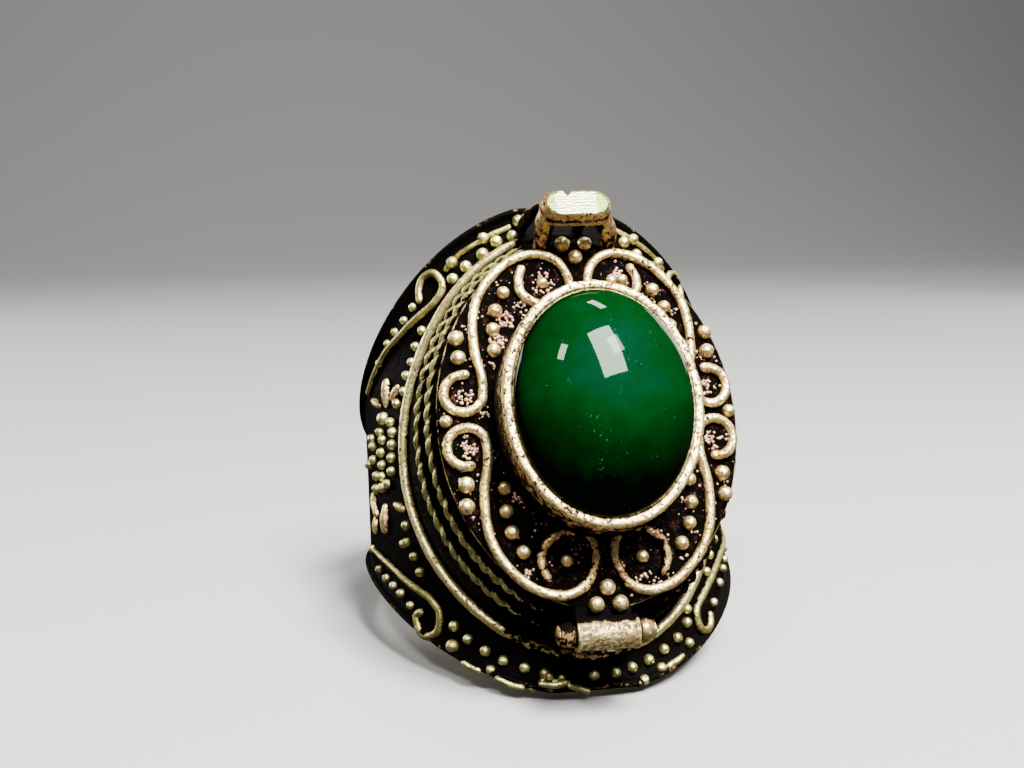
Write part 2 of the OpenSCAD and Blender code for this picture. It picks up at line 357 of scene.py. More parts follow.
# Materials
class Nodes:
    """Short way to build a material's nodes."""

    def __init__(self, name):
        self.material = bpy.data.materials.new(name)
        self.material.use_nodes = True
        self.tree = self.material.node_tree
        self.shader = next(n for n in self.tree.nodes if n.type == "BSDF_PRINCIPLED")

    def add(self, kind, **settings):
        """A node, its settings given by the names of its inputs or its own."""
        node = self.tree.nodes.new(kind)
        for key, value in settings.items():
            if key in node.inputs:
                node.inputs[key].default_value = value
            else:
                setattr(node, key, value)
        return node

    def feed(self, socket, value):
        """Gives an input a pattern, a number or a colour."""
        if isinstance(value, bpy.types.NodeSocket):
            self.tree.links.new(value, socket)
        else:
            socket.default_value = (*value, 1) if isinstance(value, tuple) else value

    def drive(self, name, value):
        """Lets a pattern set one of the shader's inputs."""
        self.feed(self.shader.inputs[name], value)

    def set(self, **values):
        for key, value in values.items():
            self.shader.inputs[key.replace("_", " ")].default_value = value

    def recess(self):
        return self.add("ShaderNodeAttribute", attribute_name="recess").outputs["Fac"]

    def pattern(self, kind, output, **settings):
        """A pattern fixed to the piece."""
        node = self.add(kind, **settings)
        self.feed(node.inputs["Vector"], self.add("ShaderNodeTexCoord").outputs["Object"])
        return node.outputs[output]

    def noise(self, scale, detail, rough):
        return self.pattern("ShaderNodeTexNoise", "Fac", Scale=scale, Detail=detail, Roughness=rough)

    def ramp(self, value, stops):
        """Colours or greys between stops, each a place and what stands there."""
        node = self.add("ShaderNodeValToRGB")
        self.feed(node.inputs["Fac"], value)
        elements = node.color_ramp.elements
        while len(elements) < len(stops):
            elements.new(0.5)
        for element, (at, color) in zip(elements, stops):
            element.position = at
            element.color = (*color, 1) if isinstance(color, tuple) else (color,) * 3 + (1,)
        return node.outputs["Color"]

    def math(self, operation, a, b, clamp=False):
        node = self.add("ShaderNodeMath", operation=operation, use_clamp=clamp)
        self.feed(node.inputs[0], a)
        self.feed(node.inputs[1], b)
        return node.outputs[0]

    def swing(self, value, size):
        """A pattern that swings about 0, by so much in all."""
        return self.math("MULTIPLY", self.math("SUBTRACT", value, 0.5), size)

    def blend(self, factor, a, b):
        """The colour a where the factor is 0, and b where it is 1."""
        node = self.add("ShaderNodeMix", data_type="RGBA")
        self.feed(node.inputs["Factor"], factor)
        self.feed(node.inputs[6], a)
        self.feed(node.inputs[7], b)
        return node.outputs[2]

    def bump(self, height, strength, distance, normal=None):
        node = self.add("ShaderNodeBump", Strength=strength, Distance=distance)
        self.feed(node.inputs["Height"], height)
        if normal is not None:
            self.feed(node.inputs["Normal"], normal)
        return node.outputs["Normal"]


# Black of tarnish and of painted shade, the reddish brown where the tarnish thins out, and the patterns'
# scale in waves per metre
OXIDE_AND_SHADE = (0.0013, 0.001, 0.0008)
RUST = (0.24, 0.09, 0.055)
PATCHES = 900
MOTTLE = 2600
PITS = 5600


def silver_with_wear_and_painted_shade(
    name, bright=(1.0, 0.82, 0.33), shade=(0.42, 0.28, 0.08), wear_and_painted_light=0.0, pit=0.9, pit_size=PITS,
    pit_level=0.44, cracks=0.0, rough=0.36, lumpy=0.6,
):
    """Antiqued silver: bright where rubbed and where painted light falls, golden down its sides as painted
    shade, black at its foot from tarnish and painted shade, and in pits and cracks.

    wear_and_painted_light is how far down the rubbed, lit metal reaches; pit, pit_size and pit_level are how
    dark, fine and many the pits are; cracks is how dark the cracks are, and lumpy how strong the lumps.
    """
    m = Nodes(name)
    m.set(Specular_IOR_Level=0.01)
    recess = m.recess()
    patches = m.noise(PATCHES, 4.0, 0.6)
    mottle = m.noise(MOTTLE, 5.0, 0.65)
    pits = m.noise(pit_size, 4.0, 0.65)
    # Where it is dark: at the foot of the relief, from tarnish and painted shade, in pits and in cracks
    edge = m.math("ADD", recess, m.swing(mottle, 1.5))
    foot = m.ramp(edge, [(0.32 + wear_and_painted_light, 0.0), (0.56 + wear_and_painted_light, 1.0)])
    spots = m.math("MULTIPLY", m.ramp(pits, [(pit_level - 0.06, 1.0), (pit_level, 0.0)]), pit)
    dark = m.math("ADD", foot, spots, clamp=True)
    if cracks:
        cells = m.pattern("ShaderNodeTexVoronoi", "Distance", feature="DISTANCE_TO_EDGE", Scale=MOTTLE)
        lines = m.math("MULTIPLY", m.ramp(cells, [(0.02, 1.0), (0.09, 0.0)]), cracks)
        cracked = m.math("MULTIPLY", lines, m.ramp(patches, [(0.45, 0.0), (0.6, 1.0)]))
        dark = m.math("ADD", dark, cracked, clamp=True)
    # The bare metal, golden on its sides as painted shade, and in patches
    sides = m.ramp(edge, [(0.02 + wear_and_painted_light, 0.0), (0.4 + wear_and_painted_light, 1.0)])
    tone = m.math("MAXIMUM", sides, m.ramp(patches, [(0.44, 0.0), (0.66, 0.85)]))
    metal = m.blend(tone, bright, shade)
    halo = m.ramp(dark, [(0.1, 0.0), (0.5, 0.7), (0.9, 0.0)])
    m.drive("Base Color", m.blend(halo, m.blend(dark, metal, OXIDE_AND_SHADE), RUST))
    m.drive("Metallic", m.ramp(dark, [(0.0, 1.0), (1.0, 0.0)]))
    m.drive("Roughness", m.ramp(dark, [(0.0, rough), (1.0, 0.5)]))
    coarse = m.bump(mottle, lumpy, 0.00008)
    m.drive("Normal", m.bump(pits, 0.6, 0.00004, coarse))
    return m.material


def filed_silver(name):
    """Bare metal under a file: fine uneven lines across, a few pits left, duller and greener at its ends."""
    m = Nodes(name)
    m.set(Metallic=1.0)
    ends = m.recess()
    wave = {"bands_direction": "Z", "Scale": MOTTLE, "Distortion": 9.0, "Detail": 5.0}
    lines = m.pattern("ShaderNodeTexWave", "Fac", **wave)
    pits = m.ramp(m.noise(5200, 3.0, 0.6), [(0.3, 1.0), (0.36, 0.0)])
    middle = m.ramp(lines, [(0.1, (0.14, 0.145, 0.08)), (0.5, (0.4, 0.41, 0.25))])
    metal = m.blend(ends, middle, (0.15, 0.2, 0.055))
    m.drive("Base Color", m.blend(pits, metal, OXIDE_AND_SHADE))
    m.drive("Roughness", m.ramp(lines, [(0.0, 0.68), (1.0, 0.52)]))
    m.drive("Normal", m.bump(lines, 0.25, 0.00002))
    return m.material


def oxidised_plate(name):
    """The blackened ground between the wires, with crusts of reddish brown and a few pale specks, bare metal
    and painted glints.
    """
    m = Nodes(name)
    m.set(Metallic=0.0, Specular_IOR_Level=0.0)
    crust = m.noise(MOTTLE, 6.0, 0.7)
    glint = m.noise(8200, 2.0, 0.5)
    ground = m.ramp(crust, [(0.56, OXIDE_AND_SHADE), (0.66, (0.018, 0.006, 0.005)), (0.76, (0.2, 0.1, 0.09))])
    # Pale specks: bare metal and painted glints
    bare = m.ramp(glint, [(0.7, 0.0), (0.76, 0.5)])
    m.drive("Base Color", m.blend(bare, ground, (0.5, 0.4, 0.32)))
    m.drive("Roughness", m.ramp(crust, [(0.4, 0.5), (0.7, 0.75)]))
    m.drive("Normal", m.bump(crust, 0.8, 0.0001))
    return m.material


def green_stone(name):
    """Deep green polished stone with painted light: teal where the light enters, nearly black low down, with
    pale inclusions.
    """
    m = Nodes(name)
    m.set(Metallic=0.0, Roughness=0.03, IOR=1.5)
    m.set(Specular_IOR_Level=0.075, Specular_Tint=(0.8, 0.95, 0.72, 1))
    # Painted light and shade of the stone, carried in its recess
    depth = m.recess()
    clouds = m.swing(m.noise(380, 5.0, 0.6), 0.55)
    veils = m.swing(m.noise(1300, 4.0, 0.65), 0.3)
    level = m.math("ADD", depth, m.math("ADD", clouds, veils))
    body = m.ramp(level, [
        (0.08, (0.0002, 0.015, 0.0055)),
        (0.3, (0.0001, 0.0122, 0.0016)),
        (0.62, (0.0001, 0.0047, 0.0003)),
        (0.92, (0.0001, 0.0004, 0.0001)),
    ])
    swarms = m.ramp(m.noise(700, 3.0, 0.6), [(0.55, 0.0), (0.66, 1.0)])
    flecks = m.math("MULTIPLY", swarms, m.ramp(m.noise(6500, 3.0, 0.5), [(0.62, 0.0), (0.74, 0.22)]))
    m.drive("Base Color", m.blend(flecks, body, (0.04, 0.26, 0.15)))
    return m.material


wire_silver = silver_with_wear_and_painted_shade("wire_silver", pit_level=0.465, cracks=0.6, lumpy=1.0)
granule_silver = silver_with_wear_and_painted_shade("granule_silver", shade=(0.66, 0.44, 0.17), wear_and_painted_light=0.06, pit_level=0.47, lumpy=0.8)
foot_silver = silver_with_wear_and_painted_shade(
    "foot_silver", bright=(0.95, 0.84, 0.36), shade=(0.48, 0.41, 0.12), wear_and_painted_light=0.05, cracks=0.5,
)
rope_silver = silver_with_wear_and_painted_shade(
    "rope_silver", bright=(0.68, 0.68, 0.22), shade=(0.3, 0.3, 0.08), wear_and_painted_light=-0.02, cracks=0.5, lumpy=1.1,
)
dull_silver = silver_with_wear_and_painted_shade(
    "dull_silver", bright=(0.54, 0.5, 0.16), shade=(0.21, 0.2, 0.05), wear_and_painted_light=-0.04, rough=0.42,
)
rim_silver = silver_with_wear_and_painted_shade("rim_silver", wear_and_painted_light=0.04, pit_level=0.49, cracks=0.4, lumpy=0.8)
pitted_silver = silver_with_wear_and_painted_shade(
    "pitted_silver", bright=(0.86, 0.75, 0.36), shade=(0.4, 0.31, 0.11), pit=0.85, pit_size=5200,
    pit_level=0.51, lumpy=1.4,
)
smooth_silver = silver_with_wear_and_painted_shade(
    "smooth_silver", bright=(0.84, 0.74, 0.32), shade=(0.4, 0.32, 0.08), wear_and_painted_light=0.1, pit=0.6, rough=0.32,
)
arch_silver = silver_with_wear_and_painted_shade(
    "arch_silver", bright=(0.66, 0.58, 0.22), shade=(0.3, 0.2, 0.06), wear_and_painted_light=-0.02, pit_level=0.47, cracks=0.5,
    lumpy=1.0,
)
edge_granule_silver = silver_with_wear_and_painted_shade(
    "edge_granule_silver", bright=(0.86, 0.82, 0.33), shade=(0.48, 0.42, 0.13), wear_and_painted_light=0.04, lumpy=1.0,
)
facet_silver = filed_silver("facet_silver")
crust_silver = silver_with_wear_and_painted_shade(
    "crust_silver", bright=(0.72, 0.5, 0.36), shade=(0.34, 0.2, 0.14), pit=0.4, rough=0.45,
)
ground_plate = oxidised_plate("ground_plate")
stone_green = green_stone("stone_green")

# Band: a tapered shell with a raised wire along each edge, worn brighter at the back of the shank
BAND_STEPS = 240
BACK_WEAR = 0.7


def band_profile(w):
    """One cross-section of half width w: radius, distance along the finger and recess of each point."""
    out = BAND_R + EDGE_H
    upper = [
        (HOLE_R, w - 0.12, 0.2), (HOLE_R + 0.1, w - 0.02, 0.3), (BAND_R, w, 0.7),
        (out - 0.08, w - 0.04, 0.7), (out, w - 0.14, 0.62), (out - 0.03, w - 0.26, 0.7),
        (out - 0.14, w - 0.35, 1), (BAND_R, w - 0.42, 1.5), (BAND_R, w - 0.9, 1.5), (BAND_R, w * 0.4, 1.5),
    ]
    return upper + [(r, -y, k) for r, y, k in reversed(upper)]


def make_band():
    shape = Shape()
    rings, recess = [], []
    for i in range(BAND_STEPS):
        phi = 360 * i / BAND_STEPS
        profile = band_profile(band_half(phi if phi <= 180 else 360 - phi))
        c, s = polar(radians(phi))
        rings.append([(r * s, y, AXIS_Z + r * c) for r, y, _ in profile])
        unworn = 1 - BACK_WEAR * max(0, -c) ** 2
        recess.append([k * unworn for _, _, k in profile])
    shape.rings(rings, recess, loop=True)
    shape.piece("band", "ring", dull_silver, "ring_body")


# Box wall: its rings outside and inside, and how far its inner foot keeps off the finger hole
OUTER_LEVELS = (0.02, 0.1, 0.2, 0.35, 0.5, 0.65, 0.8, 1)
INNER_LEVELS = (1, 0.5, 0.02)
BORE_SKIN = 0.3
WALL_SOFT = 0.06


def make_box_wall():
    shape = Shape()
    rings = []
    for t in around(160):
        outer = [wall_point(t, s) for s in OUTER_LEVELS]
        inner = [wall_point(t, s, -WALL_T) for s in INNER_LEVELS]
        inner[0].z = max(inner[0].z, band_z(inner[0].x, HOLE_R + BORE_SKIN))
        rim = [wall_point(t, 0, -WALL_T + WALL_SOFT), wall_point(t, 0, -WALL_SOFT)]
        rings.append(outer + inner + rim)
    recess = [1.5] * len(OUTER_LEVELS) + [0.7] * len(INNER_LEVELS) + [0.5] * 2
    shape.rings(rings, [recess] * len(rings), loop=True)
    shape.piece("box_wall", "ring", dull_silver, "ring_body")


# Rope: two strands twisted together along each oval, their offset and radius in rope diameters
ROPE_TURNS = 36
ROPE_STEPS = 16
STRAND_OFFSET = 0.26
STRAND_R = 0.29
# Spans across the finger where the ropes and the heavy wire get painted shade near the hinge
ROPE_SHADED = (-4.4, 9)
FOOT_WIRE_SHADED = (-5, 2.9)


def make_ropes():
    shape = Shape()
    for level in ROPE_LEVELS:
        path = [wall_point(t, level, ROPE_OUT) for t in around(ROPE_TURNS * ROPE_STEPS)]
        along = tangents(path, True)
        for strand in (0, pi):
            wound, ups, feet = [], [], []
            for i, p in enumerate(path):
                out = Vector((p.x, p.y, 0)).normalized()
                side = along[i].cross(out).normalized()
                c, s = polar(strand + 2 * pi * i / ROPE_STEPS)
                wound.append(p + ROPE_D * STRAND_OFFSET * (c * out + s * side))
                ups.append(out)
                # Strands darker where they turn in: tarnish and painted shade between them
                feet.append(0.8 - 0.5 * c)
            tube(shape, wound, ups, ROPE_D * STRAND_R, sides=8, loop=True, uneven=0.25, foot=feet)
    # Painted shadow of the thumb arch, and painted shade near the hinge
    shape.paint_arch_shadow()
    shape.paint_low_shade(*ROPE_SHADED)
    shape.piece("rope_wires", "ring", rope_silver, "ring_body")


def make_heavy_wire():
    """The plain wire along the foot of the box."""
    shape = Shape()
    path = []
    for t in around(220):
        c, s = polar(t)
        x, y = (FOOT[0] - 0.1) * c, FOOT[1] * s
        path.append(Vector((x, y, band_z(x, BAND_R + FOOT_WIRE_R * 0.6))))
    tube(shape, path, [band_up(p) for p in path], FOOT_WIRE_R, loop=True)
    # Painted shadow of the thumb arch, and painted shade near the hinge
    shape.paint_arch_shadow()
    shape.paint_low_shade(*FOOT_WIRE_SHADED)
    shape.piece("heavy_wire", "ring", foot_silver, "ring_body")


# Ornament on the band: an angle round it and a distance along the finger, as on the left side
UPPER_SCROLL = (
    (44.4, 7.9), (44.4, 8.53), (42.6, 9.04), (38.9, 9.14), (36.1, 8.62), (35.8, 8.15), (38.3, 7.63),
    (41.4, 7.32), (46.1, 6.99), (52, 6.55), (59.8, 6.03), (65.2, 5.57), (71, 5), (77, 4.4),
)
LOWER_SCROLL = (
    (51, 7.57), (52.9, 7.74), (52.4, 8.17), (51, 8.55), (48.4, 8.74), (45.1, 8.59), (43.8, 8.1),
    (43.8, 7.64), (45.3, 7.3), (47.6, 6.9), (55.1, 6.12), (62, 5.33), (70.4, 4.54), (77.5, 3.98),
)
UPPER_EDGE_BEADS = ((47.5, 7.69), (51.7, 7.17), (56.3, 6.76), (60.6, 6.34), (66.3, 5.53))
LOWER_EDGE_BEADS = ((55.6, 7.17), (59.9, 6.51), (63.7, 6.06), (68.2, 5.61), (73.7, 5.05), (80.4, 3.85))
UPPER_WIRE_BEADS = (
    (44.4, 6.3), (47.4, 5.59), (49.4, 4.84), (51.9, 4.24), (53.4, 3.47), (53.2, 2.46), (57.1, 2.97),
)
LOWER_WIRE_BEADS = ((50.6, 5.68), (52.8, 4.88), (55.7, 4.12), (57.2, 4.16), (55.7, 3.3))
UPPER_FLANGE_BEADS = (
    (10.7, 11.09), (12.8, 10.31), (17.8, 10.11), (21.7, 10.39), (22.3, 9.55), (27.7, 9.06), (32.1, 9.44),
    (32.2, 8.55),
)
FIELD_BEADS = (
    (61, 2.15), (60, 1.57), (60.7, 0.96), (61.4, 0.31), (61.8, -0.38), (64.5, -0.93), (68, 1.9),
    (66.5, 1.43), (67.8, 0.8), (67.5, 0.14), (68, -0.45), (68, -1.02), (75.3, 1.83), (74.3, 1.38),
    (74.5, 0.66), (72, -0.28), (72.5, -0.93), (80, 0.6),
)
FIELD_HEAD = ((65, 2.5),)
# A thin wire under the upper flange's beads
UPPER_FLANGE_WIRE = (
    (13.9, 10.81), (16.3, 10.67), (19.3, 10.51), (24.7, 10.13), (27.2, 9.95), (29.8, 9.77), (34.3, 9.18),
)
# Petals, each from its base to its tip, and half its width
PETALS = (
    ((63.4, 3.2), (62.4, 4.3), 0.3), ((59.8, 3.35), (56.6, 3.8), 0.22), ((68, 3.3), (72.5, 3.75), 0.22),
    ((67.2, -2.05), (68, -3.15), 0.29), ((60.9, -2.1), (56.8, -2.45), 0.22),
    ((77.3, -1.1), (74.1, -2.2), 0.25), ((75.6, -2.4), (76.2, -3), 0.24),
)

# On the right the lower scroll curls nearer the hinge, and the upper ornament sits further round
RIGHT_TURN = 5
RIGHT_LOWER_SCROLL = (
    (42.6, 8.7), (42, 9.15), (39.6, 9.42), (36.9, 9.33), (35.4, 8.85), (36.1, 8.31), (41.9, 7.45),
    (49.6, 6.43), (57.6, 5.5), (65, 4.9), (71, 4.45), (77.5, 3.98),
)
RIGHT_LOWER_EDGE_BEADS = ((46.5, 8.08), (53.1, 7.07), (59.6, 6.3), (65.5, 5.75), (73.7, 5.05), (80.4, 3.85))
RIGHT_LOWER_WIRE_BEADS = ((44.1, 6.58), (47.5, 5.73), (52.8, 4.88), (55.7, 4.12), (55.7, 3.3))

# Ornament along the lower flange from left to right: an angle, and how far down the finger
LOWER_FLANGE_BEADS = (
    (-39.2, 8.4), (-35, 9.05), (-30, 9.65), (-28.8, 10.52), (-25, 10.15), (-19.2, 10.55), (-13.9, 10.86),
    (-0.6, 11.12), (5.5, 11.05), (10.4, 10.88), (13.7, 11.48), (15.8, 10.6), (19.6, 11), (21.2, 10.18),
    (26.5, 9.7), (31, 9.97), (31, 9.02), (31.6, 8.4),
)
LOWER_CORNER_BEAD = (-40.1, 9.3)
# Remains of the lower edge's wire that still show bare metal, and the small crown on it
EDGE_BITS = (
    ((-36, 10.1), (-34, 10.35), (-32, 10.5)),
    ((-26.6, 10.9), (-23.5, 11.2), (-20.2, 11.4)),
    ((-15, 11.3), (-11.5, 11.42), (-8, 11.35)),
    ((-7.5, 11.5), (-5, 11.62), (-2.9, 11.75)),
    ((21.6, 10.95), (24, 10.78), (26.6, 10.55)),
)
CROWN_BEADS = ((-14.6, 11.2), (-12.6, 11.02), (-11.2, 11.28), (-9.4, 11.1), (-17.5, 11.45))

# Radii of the band's wires and diameters of its granules
SHOULDER_SCROLL_R = 0.2
FLANGE_WIRE_R = 0.16
EDGE_BIT_R = 0.15
EDGE_BEAD_D = 0.46
UPPER_WIRE_BEAD_D = 0.5
LOWER_WIRE_BEAD_D = 0.48
UPPER_FLANGE_BEAD_D = 0.62
LOWER_FLANGE_BEAD_D = 0.5
LOWER_CORNER_BEAD_D = 0.62
FIELD_BEAD_D = 0.52
FIELD_HEAD_D = 0.7
CROWN_BEAD_D = 0.36

# Which way a side of the band or an end of the finger lies
LEFT, RIGHT = -1, 1
UPPER, LOWER = 1, -1


def make_shoulder_scrolls():
    """The scrolls, thinning toward the back, and the thin wire along the upper flange."""
    shape = Shape()
    for side, end, places, turn in (
        (LEFT, UPPER, UPPER_SCROLL, 0),
        (LEFT, LOWER, LOWER_SCROLL, 0),
        (RIGHT, UPPER, UPPER_SCROLL, RIGHT_TURN),
        (RIGHT, LOWER, RIGHT_LOWER_SCROLL, 0),
    ):
        path = smooth_path([on_band(side * (phi + turn), end * y, 0.13) for phi, y in places], 5)
        radii = []
        for i in range(len(path)):
            radii.append(SHOULDER_SCROLL_R * mix(1.0, 0.7, max(0, i / len(path) - 0.6) / 0.4))
        tube(shape, path, [band_up(p) for p in path], radii)
    for side, turn in ((LEFT, 0), (RIGHT, RIGHT_TURN)):
        path = smooth_path([on_band(side * (phi + turn), y, 0.08) for phi, y in UPPER_FLANGE_WIRE], 5)
        tube(shape, path, [band_up(p) for p in path], FLANGE_WIRE_R, sides=8, uneven=0.25)
    shape.piece("shoulder_scrolls", "ring", dull_silver, "ring_body")


def band_bead(shape, phi, y, d):
    p = on_band(phi, y, d * 0.2)
    bead(shape, p, band_up(p), d)


def make_band_granules():
    shape = Shape()
    for side, turn, lower_edge, lower_wire in (
        (LEFT, 0, LOWER_EDGE_BEADS, LOWER_WIRE_BEADS),
        (RIGHT, RIGHT_TURN, RIGHT_LOWER_EDGE_BEADS, RIGHT_LOWER_WIRE_BEADS),
    ):
        for end, places, d, more in (
            (UPPER, UPPER_EDGE_BEADS, EDGE_BEAD_D, turn),
            (LOWER, lower_edge, EDGE_BEAD_D, 0),
            (UPPER, UPPER_WIRE_BEADS, UPPER_WIRE_BEAD_D, 0),
            (LOWER, lower_wire, LOWER_WIRE_BEAD_D, 0),
            (UPPER, UPPER_FLANGE_BEADS, UPPER_FLANGE_BEAD_D, turn),
            (UPPER, FIELD_BEADS, FIELD_BEAD_D, 0),
            (UPPER, FIELD_HEAD, FIELD_HEAD_D, 0),
        ):
            for phi, y in places:
                band_bead(shape, side * (phi + more), end * y, d)
    shape.piece("band_granules", "ring", edge_granule_silver, "ring_body")


def make_front_granules():
    shape = Shape()
    for places, d in (
        (LOWER_FLANGE_BEADS, LOWER_FLANGE_BEAD_D),
        (CROWN_BEADS, CROWN_BEAD_D),
        ((LOWER_CORNER_BEAD,), LOWER_CORNER_BEAD_D),
    ):
        for phi, y in places:
            band_bead(shape, phi, LOWER * y, d)
    shape.piece("front_granules", "ring", edge_granule_silver, "ring_body")


def make_petals():
    shape = Shape()
    steps = 8
    for (phi, y), (tip_phi, tip_y), half in PETALS:
        base, tip = on_band(phi, y, 0.04), on_band(tip_phi, tip_y, 0.06)
        path = [mix(base, tip, i / steps) for i in range(steps + 1)]
        radii = []
        for i in range(steps + 1):
            radii.append(half * (0.35 + 0.65 * sin(pi * (0.15 + 0.6 * i / steps))))
        tube(shape, path, [band_up(base)] * len(path), radii, sides=10)
    shape.add_other_side()
    shape.piece("petals", "ring", granule_silver, "ring_body")


def make_edge_bits():
    shape = Shape()
    for places in EDGE_BITS:
        path = smooth_path([on_band(phi, LOWER * y, EDGE_H * 0.8) for phi, y in places], 4)
        tube(shape, path, [band_up(p) for p in path], EDGE_BIT_R, sides=8, uneven=0.35, foot=0.15)
    shape.piece("edge_bits", "ring", edge_granule_silver, "ring_body")


def block(shape, low, high, recess):
    """A rounded bar between two corners."""
    (x0, y0, z0), (x1, y1, z1) = low, high
    soft = 0.08
    rings = []
    for z, inset in ((z0, soft), (z0 + soft, 0), (z1 - soft, 0), (z1, soft)):
        a, b, c, d = x0 + inset, x1 - inset, y0 + inset, y1 - inset
        k = soft * 0.7
        rings.append([
            (a + k, c, z), (b - k, c, z), (b, c + k, z), (b, d - k, z),
            (b - k, d, z), (a + k, d, z), (a, d - k, z), (a, c + k, z),
        ])
    shape.rings(rings, [[recess] * len(ring) for ring in rings])


# Hinge leaves: how far their brackets reach down, and how dark the left one is
BRACKET_DROP = 2.9
LEFT_LEAF_SHADE = 0.42


def make_hinge_leaves():
    """Two outer leaves, each a rounded knuckle on a bracket that stands on the box wall."""
    shape = Shape()
    x0 = KNUCKLE_HALF + LEAF_GAP
    # Distance from the inner end and radius, thickest near the lid's knuckle
    profile = [
        (0, PIN_BORE_R), (0, LEAF_R - 0.07), (0.06, LEAF_R - 0.01), (0.2, LEAF_R * 0.97),
        (0.33, LEAF_R * 0.92), (0.44, LEAF_R * 0.84), (LEAF_L - 0.03, LEAF_R * 0.77),
        (LEAF_L, LEAF_R * 0.735), (LEAF_L, PIN_BORE_R),
    ]
    rings, recess = [], []
    for t in around(40):
        c, s = polar(t)
        ring = []
        for x, r in profile:
            size = r * (1 + 0.05 * noise.noise(Vector((x * 4, c * 2, s * 2))))
            ring.append((x0 + x, HINGE_Y + size * c, HINGE_Z + size * s))
        rings.append(ring)
        # Darker toward the lid: tarnish and painted shade in the crease
        recess.append([0.9] + [0.2 + 0.8 * max(0, c) ** 2] * (len(profile) - 2) + [0.9])
    shape.rings(rings, recess, loop=True)
    half = LEAF_R * 0.8
    low = (x0, HINGE_Y - half, HINGE_Z - BRACKET_DROP)
    high = (x0 + LEAF_L, HINGE_Y + half, HINGE_Z - 0.3)
    block(shape, low, high, recess=1.3)
    shape.add_other_side()
    shape.shift(ENDS_X)
    for i, p in enumerate(shape.points):
        if p.x < 0:
            shape.recess[i] += LEFT_LEAF_SHADE
    shape.piece("hinge_leaves", "ring", smooth_silver, "ring_body")


# Keeper: places from its foot to its top, and its width there
KEEPER_OUTLINE = ((0, 1), (0.45, 1), (0.8, 0.93), (1, 0.55))


def make_keeper():
    """The wire loop on the box that the thumb arch snaps over."""
    shape = Shape()
    half = []
    for t, width in KEEPER_OUTLINE:
        y = mix(KEEPER_FOOT[0], KEEPER_TOP[0], t)
        z = mix(KEEPER_FOOT[1], KEEPER_TOP[1], t)
        half.append(Vector((width * KEEPER_HALF, y, z)))
    path = smooth_path(half + [Vector((-p.x, p.y, p.z)) for p in reversed(half)], 6)
    feet = [0.75 if p.x < 0 else 1.2 for p in path]
    tube(shape, path, [ALONG] * len(path), KEEPER_R, uneven=0.35, foot=feet)
    shape.shift(ENDS_X)
    shape.piece("keeper", "ring", dull_silver, "ring_body")


def oval_ring(a, b, z, n):
    return [Vector((a * c, b * s, z)) for c, s in map(polar, around(n))]


# Lid plate: each ring's share of the lid's size, how far it lies under the dome, and its recess
PLATE_RINGS = (
    (0.55, 0, 1.0), (0.7, 0, 1.0), (0.85, 0, 1.0), (0.96, 0, 1.0), (0.99, 0.03, 0.2), (1, 0.1, 0.2),
    (1, 0.4, 0.2), (0.99, 0.48, 0.2), (0.9, LID_T, 0.45), (0.001, LID_T, 0.45),
)
LID_RIM_R = 0.09


def over_lid(p, h):
    return Vector((p.x, p.y, lid_z(p.x, p.y) + h))


def make_lid_plate():
    """The domed plate, black above and dull below."""
    shape = Shape()
    n = 160
    rings = []
    for s, drop, _ in PLATE_RINGS:
        ring = oval_ring(LID[0] * s, LID[1] * s, 0, n)
        rings.append([over_lid(p, -drop) for p in ring])
    shape.rings(rings, [[k] * n for _, _, k in PLATE_RINGS])
    plate = shape.piece("lid_plate", "lid", ground_plate, "lid")
    plate.data.materials.append(dull_silver)
    for face in plate.data.polygons:
        if face.normal.dot(FACE) < -0.5:
            face.material_index = 1


def make_lid_rim():
    """The bare metal edge of the lid plate."""
    shape = Shape()
    path = [over_lid(p, -0.14) for p in oval_ring(LID[0] - 0.08, LID[1] - 0.08, 0, 200)]
    tube(shape, path, [UP] * len(path), LID_RIM_R, sides=8, loop=True, uneven=0.3, foot=0.85)
    # Painted shadow of the thumb arch
    shape.paint_arch_shadow()
    shape.piece("lid_rim", "lid", dull_silver, "lid")


# Bezel: distance out from the seat, height and recess, from its outer foot over the lip to the inner. The
# recess darkens the wall with tarnish and painted shade
BEZEL_PROFILE = (
    (BEZEL_WALL, BEZEL_FOOT, 1.1), (BEZEL_WALL, 0.6, 0.85), (BEZEL_WALL - 0.03, 1.3, 0.6),
    (BEZEL_WALL - 0.08, BEZEL_TOP - 0.3, 0.5), (BEZEL_WALL - 0.06, BEZEL_TOP - 0.16, 0.15),
    (BEZEL_WALL - 0.1, BEZEL_TOP - 0.05, 0), (BEZEL_WALL - 0.17, BEZEL_TOP, 0), (0.1, BEZEL_TOP, 0.12),
    (-0.02, BEZEL_TOP - 0.01, 0), (-LIP + 0.02, BEZEL_TOP - 0.04, 0.1), (-LIP, BEZEL_TOP - 0.1, 0.5),
    (0, BEZEL_TOP - LIP - 0.08, 1), (0, BEZEL_FOOT, 1),
)
BEZEL_DENTS = 0.05


def make_bezel():
    """The rim round the stone, dented, but never into the stone."""
    shape = Shape()
    seat = (STONE[0] + STONE_GAP, STONE[1] + STONE_GAP)
    rings = []
    for t in around(160):
        c, s = polar(t)
        ring = []
        for out, z, _ in BEZEL_PROFILE:
            dent = BEZEL_DENTS * noise.noise(Vector((c * 11, s * 11, z * 2))) if z > 0 else 0
            size = out + dent * (out > -LIP)
            ring.append(((seat[0] + size) * c, (seat[1] + size) * s, z + dent * 0.6))
        rings.append(ring)
    shape.rings(rings, [[k for _, _, k in BEZEL_PROFILE]] * len(rings), loop=True)
    shape.piece("bezel", "lid", rim_silver, "lid")


